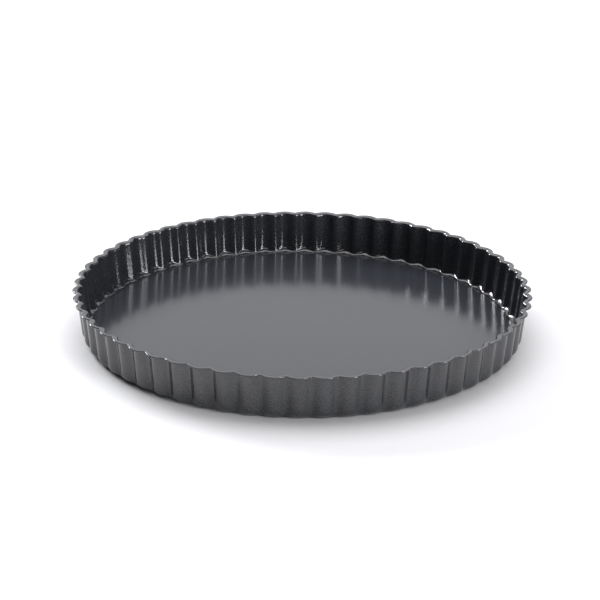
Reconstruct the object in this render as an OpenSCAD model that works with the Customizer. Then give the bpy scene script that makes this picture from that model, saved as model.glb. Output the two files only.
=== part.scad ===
// Round fluted tart pan with a lift-out base.
// Millimetres, +Z up. The origin is on the table, at the centre of the pan.

/* [Pan] */
// Diameter over the crests of the rim lip
rim_d = 300; // [240:1:340]
// Height from the table to the top of the lip
pan_h = 30; // [22:0.5:40]
// Thickness of the steel sheet, for the ring and the base
sheet = 0.8; // [0.6:0.1:1]
// Lean of the wall away from upright, in degrees
wall_lean = 5.6; // [3:0.1:9]

/* [Flutes] */
// Number of flutes around the wall
flutes = 60; // [54:1:64]
// Depth of a flute, from its crest to the groove beside it
flute_depth = 2.8; // [2:0.1:4]
// How much the grooves are pinched narrower than the crests
groove_pinch = 0.1; // [0:0.01:0.15]
// Flat facets that make up the width of one flute
flute_facets = 8; // [6:2:8]

/* [Rim] */
// Width of the flat lip at the crest of a flute
lip_w = 2.8; // [2.2:0.1:3.6]
// Depth of the scallops cut into the outer edge of the lip
scallop_depth = 2.8; // [1:0.1:3]
// Bevel that stands for the bend from the wall up to the top of the lip
lip_bend = 1.7; // [1:0.1:2]

/* [Ledge and base] */
// Inside radius of the bend from the wall to the ledge, midway between a crest and a groove
foot_bend = 3; // [2.2:0.1:4]
// How much larger this radius is at a crest, and smaller at a groove
foot_swing = 1.5; // [0:0.1:1.6]
// Flat that the ledge has between the bend and its step
ledge_flat = 1.4; // [1.2:0.1:4]
// Width of the seat that carries the base
seat_w = 5.5; // [3:0.5:12]
// Gap all round the base, where it lies in the ledge
base_gap = 0.3; // [0.2:0.05:0.6]
// Bevel along the edges of the ledge's step
step_bevel = 0.3; // [0.1:0.05:0.4]

/* [Hidden] */
$fn = 180;
coating = "#54565b";                  // dark grey non-stick coating

seat_z = sheet;                       // top of the seat, where the base lies
floor_z = 2 * sheet;                  // top of the base and of the ledge beside it
lip_z = pan_h - sheet;                // underside of the lip
rim_r = rim_d / 2;
crest_r = rim_r - lip_w - sheet / 2;  // middle of the sheet at a crest, at the top
mean_r = crest_r - flute_depth / 2;
ridge_in_r = mean_r - flute_depth / 2 - sheet / 2 - (pan_h - floor_z) * tan(wall_lean);
step_r = ridge_in_r - foot_bend + foot_swing - ledge_flat;   // wall of the step that the base fits in
step_out_r = step_r + sheet;
opening_r = step_r - seat_w;
overlap = 0.4;                        // how far the ledge runs into the fluted shell
columns = flutes * flute_facets;

// Angle along one flute, 0 at its crest and 180 at its groove.
function flute_angle(i) = 360 * i / flute_facets;
// The wave of the flutes, from 1 at a crest to -1 at a groove.
function wave(a) = cos(a) - groove_pinch * cos(2 * a) + groove_pinch;
function wave_slope(a) = -sin(a) + 2 * groove_pinch * sin(2 * a);
// Radius of the middle of the sheet at height z.
function wall_r(a, z) = mean_r + flute_depth / 2 * wave(a) - (pan_h - z) * tan(wall_lean);

// Point of column i at height z, moved out from the middle of the sheet by d, square to the flute.
function wall_point(i, z, d) =
    let (a = flute_angle(i), turn = 360 * i / columns,
         r = wall_r(a, z), dr = flutes * flute_depth / 2 * wave_slope(a),
         len = sqrt(r * r + dr * dr), out = r + d * r / len, side = -d * dr / len)
    [out * cos(turn) - side * sin(turn), out * sin(turn) + side * cos(turn), z];

// Point of column i on a plain circle.
function round_point(i, z, r) = [r * cos(360 * i / columns), r * sin(360 * i / columns), z];

// Point of column i on the scalloped edge of the lip: shallow arcs that meet at each groove.
function lip_point(i, z) =
    let (a = flute_angle(i) % 360, part = (a > 180 ? a - 360 : a) / 180)
    round_point(i, z, rim_r - scallop_depth * part * part);

// Cross-section of the fluted shell at column i, from the ledge out, up the wall and back down inside.
function section(i) =
    let (half = sheet / 2, corner = cos(45), touch = 2 - sqrt(2),
         foot = foot_bend + foot_swing * wave(flute_angle(i)),
         foot_out = touch * (foot + sheet),          // bevels that touch the outside of each bend, so
         lip_out = lip_bend - touch * sheet)         // that the sheet keeps its thickness
    [
        round_point(i, seat_z, step_out_r - overlap),
        wall_point(i, seat_z, half - foot_out),
        wall_point(i, seat_z + foot_out, half),
        wall_point(i, lip_z - lip_out, half),
        wall_point(i, lip_z, half + lip_out),
        lip_point(i, lip_z),
        lip_point(i, pan_h),
        wall_point(i, pan_h, lip_bend - half),
        wall_point(i, pan_h - lip_bend, -half),
        wall_point(i, floor_z + foot, -half),
        wall_point(i, floor_z + foot * (1 - corner), -half - foot * (1 - corner)),
        wall_point(i, floor_z, -half - foot),
        round_point(i, floor_z, step_out_r - overlap)
    ];

// The fluted wall with its lip, its bottom bend and the flat beside the step, as one closed shell.
module fluted_shell() {
    rings = [for (i = [0 : columns - 1]) section(i)];
    n = len(rings[0]);
    polyhedron(
        points = [for (ring = rings) each ring],
        faces = [
            for (i = [0 : columns - 1], j = [0 : n - 1])
                let (here = i * n, next = ((i + 1) % columns) * n, k = (j + 1) % n)
                each [[here + j, here + k, next + k], [here + j, next + k, next + j]]
        ],
        convexity = 6
    );
}

// The ledge turned in under the base, stepped down so that the base lies flush.
module seat_ledge() {
    rotate_extrude()
        polygon([
            [opening_r, 0], [step_out_r - step_bevel, 0], [step_out_r, step_bevel], [step_out_r, floor_z],
            [step_r + step_bevel, floor_z], [step_r, floor_z - step_bevel], [step_r, seat_z],
            [opening_r, seat_z]
        ]);
}

// Pressed steel ring: fluted wall, scalloped lip and stepped ledge in one sheet.
module fluted_ring() {
    color(coating)
        union() {
            fluted_shell();
            seat_ledge();
        }
}

// Flat steel disc that lies in the ledge and lifts out through the top.
module loose_base() {
    edge = sheet / 4;
    base_r = step_r - base_gap;
    color(coating)
        translate([0, 0, seat_z])
            rotate_extrude()
                polygon([
                    [0, 0], [base_r - edge, 0], [base_r, edge],
                    [base_r, sheet - edge], [base_r - edge, sheet], [0, sheet]
                ]);
}

fluted_ring();
loose_base();
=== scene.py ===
"""Looks of a round fluted tart pan: a coated steel ring with a loose base, on a pale studio floor."""

import math

import bmesh
import bpy
import numpy as np
from mathutils import Matrix, Vector


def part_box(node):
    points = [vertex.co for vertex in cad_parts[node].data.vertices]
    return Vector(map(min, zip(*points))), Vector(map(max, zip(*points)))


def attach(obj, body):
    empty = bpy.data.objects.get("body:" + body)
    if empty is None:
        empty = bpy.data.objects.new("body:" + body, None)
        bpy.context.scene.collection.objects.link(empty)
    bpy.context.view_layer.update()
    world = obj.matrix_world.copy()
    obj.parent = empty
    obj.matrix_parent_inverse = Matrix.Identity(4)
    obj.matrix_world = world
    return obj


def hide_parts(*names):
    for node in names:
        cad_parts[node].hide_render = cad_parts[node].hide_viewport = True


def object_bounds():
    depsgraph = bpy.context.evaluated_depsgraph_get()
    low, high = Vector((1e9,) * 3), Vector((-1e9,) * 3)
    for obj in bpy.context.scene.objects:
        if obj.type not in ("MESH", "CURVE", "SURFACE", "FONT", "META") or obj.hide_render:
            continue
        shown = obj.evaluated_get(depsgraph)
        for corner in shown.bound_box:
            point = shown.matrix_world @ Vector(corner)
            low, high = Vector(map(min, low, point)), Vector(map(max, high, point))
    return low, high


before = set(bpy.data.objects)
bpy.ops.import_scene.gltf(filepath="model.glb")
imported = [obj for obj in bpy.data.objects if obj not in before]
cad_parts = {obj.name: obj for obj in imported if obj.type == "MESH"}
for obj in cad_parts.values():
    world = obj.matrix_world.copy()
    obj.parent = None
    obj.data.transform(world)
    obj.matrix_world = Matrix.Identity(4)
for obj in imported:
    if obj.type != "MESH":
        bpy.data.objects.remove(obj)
cad_low, cad_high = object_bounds()

MM = 0.001

# Sizes that the CAD source also has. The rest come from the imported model.
FLUTES = 60
SHEET = 0.8 * MM
WALL_LEAN = math.radians(5.6)
FLUTE_DEPTH = 2.8 * MM
GROOVE_PINCH = 0.1
LIP_WIDTH = 2.8 * MM
SCALLOP_DEPTH = 2.8 * MM
FOOT_BEND = 3 * MM           # midway between a crest and a groove
FOOT_SWING = 1.5 * MM        # how much rounder the bend is at a crest, and tighter at a groove
LEDGE_FLAT = 1.4 * MM
SEAT_WIDTH = 5.5 * MM

# Details that only show up close, and differ a little from the plainer CAD source.
SEAM = 0.1 * MM              # visible gap round the base; the CAD source leaves 0.3 mm of play there
LIP_BEND = 1.8 * MM          # bend from the wall up to the top of the lip
LIP_TOP_EDGE = 0.45 * MM     # upper corner of the lip's cut edge
LIP_LOW_EDGE = 0.15 * MM     # lower corner of the same edge
STEP_EDGE = 0.06 * MM        # edges of the ledge's step and of its opening
BASE_EDGE = 0.06 * MM        # edges of the base
NOTCH_START = 0.86           # part of a scallop's half width where its notch begins to round off

# How finely the meshes are divided.
COLUMNS_PER_FLUTE = 24
WALL_ROWS = 10               # up the wall, outside and inside
LIP_ROWS = 4                 # across the top of the lip
FLAT_ROWS = 3                # across the other narrow flats
ARC_STEPS = 6                # round the bends of the sheet
LIP_ARC_STEPS = 5            # round the lip's upper corner and the bend under the lip
EDGE_STEPS = 3               # round the small edges
UNDERSIDE_INSET = 1 * MM     # extra loop on the underside, beside its outer edge
BASE_LOOPS = (0.04, 0.15, 0.35, 0.55, 0.75, 0.9, 0.97)   # loops on the base, as shares of its radius
SHADING_WEIGHT = 60          # how much the large faces lead the shading of the small ones

LIGHT_COLOR = (0.97, 0.97, 1)
NOISE_RANGE = (0.35, 0.65)   # where most values of a noise texture lie
PEEL_SCALE = 700             # orange peel of the coating
CLOUD_SCALE = 26             # faint mottling of its gloss
GRAIN_HEIGHT = 0.1 * MM
FLOOR_HALF = 6               # half the side of the studio floor, in metres

rim_r = cad_high.x
pan_h = cad_high.z
base_low, base_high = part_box("loose_base")
half = SHEET / 2
seat_z = base_low.z
floor_z = base_high.z
lip_z = pan_h - SHEET
lean = math.tan(WALL_LEAN)
mean_r = rim_r - LIP_WIDTH - half - FLUTE_DEPTH / 2
ridge_r = mean_r - FLUTE_DEPTH / 2 - half - (pan_h - floor_z) * lean
step_r = ridge_r - (FOOT_BEND - FOOT_SWING) - LEDGE_FLAT
step_out_r = step_r + SHEET
opening_r = step_r - SEAT_WIDTH


# ---------------------------------------------------------------- shapes

columns = FLUTES * COLUMNS_PER_FLUTE
turn = np.arange(columns) * (2 * math.pi / columns)
flute_angle = FLUTES * turn
# Share of the way from a flute's crest (0) to the groove beside it (1).
to_groove = np.abs(np.angle(np.exp(1j * flute_angle))) / math.pi
# The wave of the flutes, from 1 at a crest to -1 at a groove, and its slope.
wave = np.cos(flute_angle) - GROOVE_PINCH * np.cos(2 * flute_angle) + GROOVE_PINCH
slope = -np.sin(flute_angle) + 2 * GROOVE_PINCH * np.sin(2 * flute_angle)
foot_bend = FOOT_BEND + FOOT_SWING * wave


def around(out, side, z):
    """Points from their distances out from the axis and along the turn, and their height."""
    x = out * np.cos(turn) - side * np.sin(turn)
    y = out * np.sin(turn) + side * np.cos(turn)
    return np.stack([x, y, np.broadcast_to(z, columns)], axis=1)


def circle(r, z):
    """A plain loop of radius r at height z."""
    return around(np.full(columns, r), np.zeros(columns), z)


def wall(offset, z):
    """The fluted sheet at height z, moved out from its middle by offset, square to the flutes."""
    r = mean_r + FLUTE_DEPTH / 2 * wave - (pan_h - z) * lean
    dr = FLUTES * FLUTE_DEPTH / 2 * slope
    length = np.hypot(r, dr)
    return around(r + offset * r / length, -offset * dr / length, z)


def lip(inset, z):
    """The scalloped edge of the lip: shallow arcs whose notches are rounded at the grooves."""
    rounded = NOTCH_START ** 2 + 2 * NOTCH_START * (to_groove - NOTCH_START) * (
        1 - (to_groove - NOTCH_START) / (2 * (1 - NOTCH_START)))
    cut = np.where(to_groove < NOTCH_START, to_groove ** 2, rounded) / NOTCH_START
    return around(rim_r - SCALLOP_DEPTH * cut - inset, np.zeros(columns), z)


def arc(start, end, steps=ARC_STEPS):
    """Cosines and sines of evenly spaced angles, in degrees, both ends included."""
    return [(math.cos(a), math.sin(a)) for a in np.radians(np.linspace(start, end, steps + 1))]


def between(a, b, steps):
    """Loops that lead from loop a to loop b, without either."""
    return [a + (b - a) * k / steps for k in range(1, steps)]


def ring_section():
    """The loops of the ring's cross-section in order, from the underside out, up, over and down inside."""
    edge_r = STEP_EDGE
    loops = [circle(opening_r + edge_r, 0), circle(step_out_r - edge_r - UNDERSIDE_INSET, 0)]
    loops += [circle(step_out_r - edge_r + edge_r * c, edge_r + edge_r * s)
              for c, s in arc(-90, 0, EDGE_STEPS)]
    loops += [circle(step_out_r + edge_r - edge_r * c, seat_z - edge_r + edge_r * s)
              for c, s in arc(0, 90, EDGE_STEPS)]

    bend_out = foot_bend + SHEET
    foot = [wall(half - bend_out + bend_out * c, seat_z + bend_out + bend_out * s) for c, s in arc(-90, 0)]
    loops += between(loops[-1], foot[0], FLAT_ROWS) + foot

    under_r = LIP_BEND - SHEET
    under_z = lip_z - under_r
    loops += between(foot[-1], wall(half, under_z), WALL_ROWS)
    under = [wall(half + under_r + under_r * c, under_z + under_r * s)
             for c, s in arc(180, 90, LIP_ARC_STEPS)]

    low_r, top_r = LIP_LOW_EDGE, LIP_TOP_EDGE
    edge = [lip(low_r - low_r * c, lip_z + low_r + low_r * s) for c, s in arc(-90, 0, EDGE_STEPS)]
    edge += [lip(top_r - top_r * c, pan_h - top_r + top_r * s) for c, s in arc(0, 90, LIP_ARC_STEPS)]
    bend = [wall(LIP_BEND - half + LIP_BEND * c, pan_h - LIP_BEND + LIP_BEND * s) for c, s in arc(90, 180)]
    loops += under + between(under[-1], edge[0], FLAT_ROWS) + edge
    loops += between(edge[-1], bend[0], LIP_ROWS) + bend

    inside = [wall(-half - foot_bend + foot_bend * c, floor_z + foot_bend + foot_bend * s)
              for c, s in arc(0, -90)]
    loops += between(bend[-1], inside[0], WALL_ROWS) + inside

    step = [circle(step_r + edge_r - edge_r * s, floor_z - edge_r + edge_r * c)
            for c, s in arc(0, 90, EDGE_STEPS)]
    loops += between(inside[-1], step[0], FLAT_ROWS) + step
    loops += [circle(step_r, seat_z + edge_r / 2), circle(step_r - edge_r / 2, seat_z)]
    loops += [circle(opening_r + edge_r - edge_r * s, seat_z - edge_r + edge_r * c)
              for c, s in arc(0, 90, EDGE_STEPS)]
    loops += [circle(opening_r + edge_r - edge_r * c, edge_r - edge_r * s)
              for c, s in arc(0, 90, EDGE_STEPS)[:-1]]
    return loops


def make_object(name, points, faces):
    """A smooth mesh object whose faces all point outwards."""
    mesh = bpy.data.meshes.new(name)
    mesh.from_pydata(points.tolist(), [], faces)
    bm = bmesh.new()
    bm.from_mesh(mesh)
    bmesh.ops.recalc_face_normals(bm, faces=bm.faces)
    for face in bm.faces:
        face.smooth = True
    bm.to_mesh(mesh)
    bm.free()
    obj = bpy.data.objects.new(name, mesh)
    bpy.context.collection.objects.link(obj)
    obj.modifiers.new("even_shading", "WEIGHTED_NORMAL").weight = SHADING_WEIGHT
    return obj


def swept_faces(loop_count, closed):
    """Quads between neighbouring loops, all the way round the pan."""
    faces = []
    for j in range(loop_count if closed else loop_count - 1):
        here, over = j * columns, ((j + 1) % loop_count) * columns
        for i in range(columns):
            k = (i + 1) % columns
            faces.append((here + i, here + k, over + k, over + i))
    return faces


def make_ring():
    """The ring: its section swept round as one closed mesh."""
    loops = ring_section()
    return make_object("coated_ring", np.concatenate(loops), swept_faces(len(loops), closed=True))


def make_base():
    """The flat base: a disc with softly rounded edges."""
    base_r, edge_r = step_r - SEAM, BASE_EDGE
    loops = [circle(base_r * share, seat_z) for share in BASE_LOOPS]
    loops += [circle(base_r - edge_r + edge_r * c, seat_z + edge_r + edge_r * s)
              for c, s in arc(-90, 0, EDGE_STEPS)]
    loops += [circle(base_r - edge_r + edge_r * c, floor_z - edge_r + edge_r * s)
              for c, s in arc(0, 90, EDGE_STEPS)]
    loops += [circle(base_r * share, floor_z) for share in reversed(BASE_LOOPS)]
    points = np.concatenate(loops + [np.array([[0, 0, seat_z], [0, 0, floor_z]])])
    faces = swept_faces(len(loops), closed=False)
    last = (len(loops) - 1) * columns
    below, above = len(loops) * columns, len(loops) * columns + 1
    for i in range(columns):
        k = (i + 1) % columns
        faces.append((below, k, i))
        faces.append((above, last + i, last + k))
    return make_object("coated_base", points, faces)


# ---------------------------------------------------------------- materials

class Nodes:
    """Short calls for building one material's node tree."""

    def __init__(self, name):
        self.material = bpy.data.materials.new(name)
        self.material.use_nodes = True
        self.tree = self.material.node_tree
        self.shader = self.tree.nodes["Principled BSDF"]

    def add(self, kind, values=(), **settings):
        """A new node. Each value is set on its input, or linked to it if it is another node's output."""
        node = self.tree.nodes.new(kind)
        for key, value in settings.items():
            setattr(node, key, value)
        for key, value in dict(values).items():
            if isinstance(value, bpy.types.NodeSocket):
                self.tree.links.new(value, node.inputs[key])
            else:
                node.inputs[key].default_value = value
        return node

    def noise(self, where, scale, detail):
        node = self.add("ShaderNodeTexNoise", {"Vector": where, "Scale": scale, "Detail": detail})
        return node.outputs["Fac"]

    def spread(self, value, to_low, to_high):
        """Maps the usual range of a noise to another, held at both ends."""
        low, high = NOISE_RANGE
        node = self.add("ShaderNodeMapRange", {"Value": value, "From Min": low, "From Max": high,
                                               "To Min": to_low, "To Max": to_high})
        return node.outputs["Result"]

    def mix(self, share, a, b):
        """Blends two colours. Sockets 0, 6 and 7 of a colour mix are its factor, A and B."""
        node = self.add("ShaderNodeMix", data_type="RGBA")
        for socket, value in ((node.inputs[0], share), (node.inputs[6], a), (node.inputs[7], b)):
            if isinstance(value, bpy.types.NodeSocket):
                self.tree.links.new(value, socket)
            else:
                socket.default_value = value
        return node.outputs[2]

    def link(self, value, socket):
        self.tree.links.new(value, self.shader.inputs[socket])


def coating(name, dark, light, low_roughness, high_roughness, ior, grain, grain_scale):
    """Dark non-stick coating: a fine orange-peel grain, faint mottling and a soft sheen."""
    m = Nodes(name)
    place = m.add("ShaderNodeTexCoord").outputs["Object"]
    fine = m.noise(place, grain_scale, detail=2)
    peel = m.noise(place, PEEL_SCALE, detail=2)
    cloud = m.noise(place, CLOUD_SCALE, detail=3)
    m.link(m.mix(m.spread(fine, 0, 1), dark, light), "Base Color")
    m.link(m.spread(cloud, low_roughness, high_roughness), "Roughness")
    rough = m.add("ShaderNodeMath", {0: fine, 1: peel}, operation="ADD").outputs[0]
    bump = m.add("ShaderNodeBump", {"Strength": grain, "Distance": GRAIN_HEIGHT, "Height": rough})
    m.link(bump.outputs["Normal"], "Normal")
    m.shader.inputs["Metallic"].default_value = 0.0
    m.shader.inputs["IOR"].default_value = ior
    return m.material


# ---------------------------------------------------------------- studio

def make_floor():
    """A plain matt white table."""
    side = FLOOR_HALF
    corners = [(-side, -side, 0), (side, -side, 0), (side, side, 0), (-side, side, 0)]
    mesh = bpy.data.meshes.new("studio_floor")
    mesh.from_pydata(corners, [], [(0, 1, 2, 3)])
    floor = bpy.data.objects.new("studio_floor", mesh)
    bpy.context.collection.objects.link(floor)
    material = bpy.data.materials.new("white_table")
    material.use_nodes = True
    shader = material.node_tree.nodes["Principled BSDF"]
    shader.inputs["Base Color"].default_value = (0.9, 0.9, 0.9, 1)
    shader.inputs["Roughness"].default_value = 0.6
    shader.inputs["Specular IOR Level"].default_value = 0.2
    mesh.materials.append(material)


def soft_light(name, azimuth, elevation, distance, width, height, power):
    """An area light that faces the pan's centre. Azimuth 0 is behind the pan and 90 to its right."""
    a, e = math.radians(azimuth), math.radians(elevation)
    data = bpy.data.lights.new(name, "AREA")
    data.shape = "RECTANGLE"
    data.size, data.size_y = width, height
    data.energy = power
    data.color = LIGHT_COLOR
    light = bpy.data.objects.new(name, data)
    light.location = distance * Vector((math.sin(a) * math.cos(e), math.cos(a) * math.cos(e), math.sin(e)))
    light.rotation_euler = light.location.to_track_quat("Z", "Y").to_euler()
    bpy.context.collection.objects.link(light)


def make_dark_world():
    """No light of its own: the room is lit by its lights alone."""
    world = bpy.data.worlds.new("studio")
    world.use_nodes = True
    world.node_tree.nodes["Background"].inputs["Strength"].default_value = 0
    bpy.context.scene.world = world


def make_camera():
    """The photo's view: from the front, 21 degrees above the table, about 1.1 m away."""
    distance = 1.144
    elevation = math.radians(21.17)
    azimuth = math.radians(0.5)
    roll = math.radians(0.74)
    aim = Vector((-0.0015, 0, 0.0192))
    centre = Vector((0, 0, pan_h))
    out = Vector((math.sin(azimuth), -math.cos(azimuth), 0))
    data = bpy.data.cameras.new("camera")
    data.sensor_width = 36
    data.lens = 104.6
    camera = bpy.data.objects.new("camera", data)
    place = centre + distance * (out * math.cos(elevation) + Vector((0, 0, math.sin(elevation))))
    turned = (aim - place).to_track_quat("-Z", "Y").to_matrix().to_4x4()
    camera.matrix_world = Matrix.Translation(place) @ turned @ Matrix.Rotation(roll, 4, "Z")
    bpy.context.collection.objects.link(camera)
    bpy.context.scene.camera = camera


# ---------------------------------------------------------------- scene

ring = make_ring()
ring.data.materials.append(coating(
    "ring_coating", dark=(0.016, 0.0167, 0.019, 1), light=(0.031, 0.0323, 0.037, 1),
    low_roughness=0.14, high_roughness=0.17, ior=1.75, grain=0.15, grain_scale=1000))
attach(ring, "ring")
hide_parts("fluted_ring")

base = make_base()
base.data.materials.append(coating(
    "base_coating", dark=(0.03, 0.033, 0.039, 1), light=(0.035, 0.038, 0.045, 1),
    low_roughness=0.15, high_roughness=0.17, ior=1.5, grain=0.1, grain_scale=2200))
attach(base, "base")
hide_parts("loose_base")

make_floor()
make_dark_world()
soft_light("key", azimuth=-44, elevation=28, distance=2, width=0.8, height=0.3, power=27)
soft_light("low_window", azimuth=133, elevation=6.5, distance=5, width=1.8, height=0.75, power=112)
soft_light("high_window", azimuth=133, elevation=34, distance=5, width=1.6, height=1.1, power=60)
soft_light("front_fill", azimuth=165, elevation=45, distance=3, width=2, height=1, power=9)
soft_light("overhead", azimuth=-10, elevation=72, distance=4.5, width=5.8, height=4.5, power=235)
soft_light("back_panel", azimuth=0, elevation=24, distance=2.6, width=3.4, height=1.4, power=18)
soft_light("right_fill", azimuth=92, elevation=32, distance=1.9, width=0.9, height=0.6, power=2.5)
make_camera()

view = bpy.context.scene.view_settings
view.view_transform = "Standard"
view.look = "None"
view.exposure = 0
view.gamma = 1
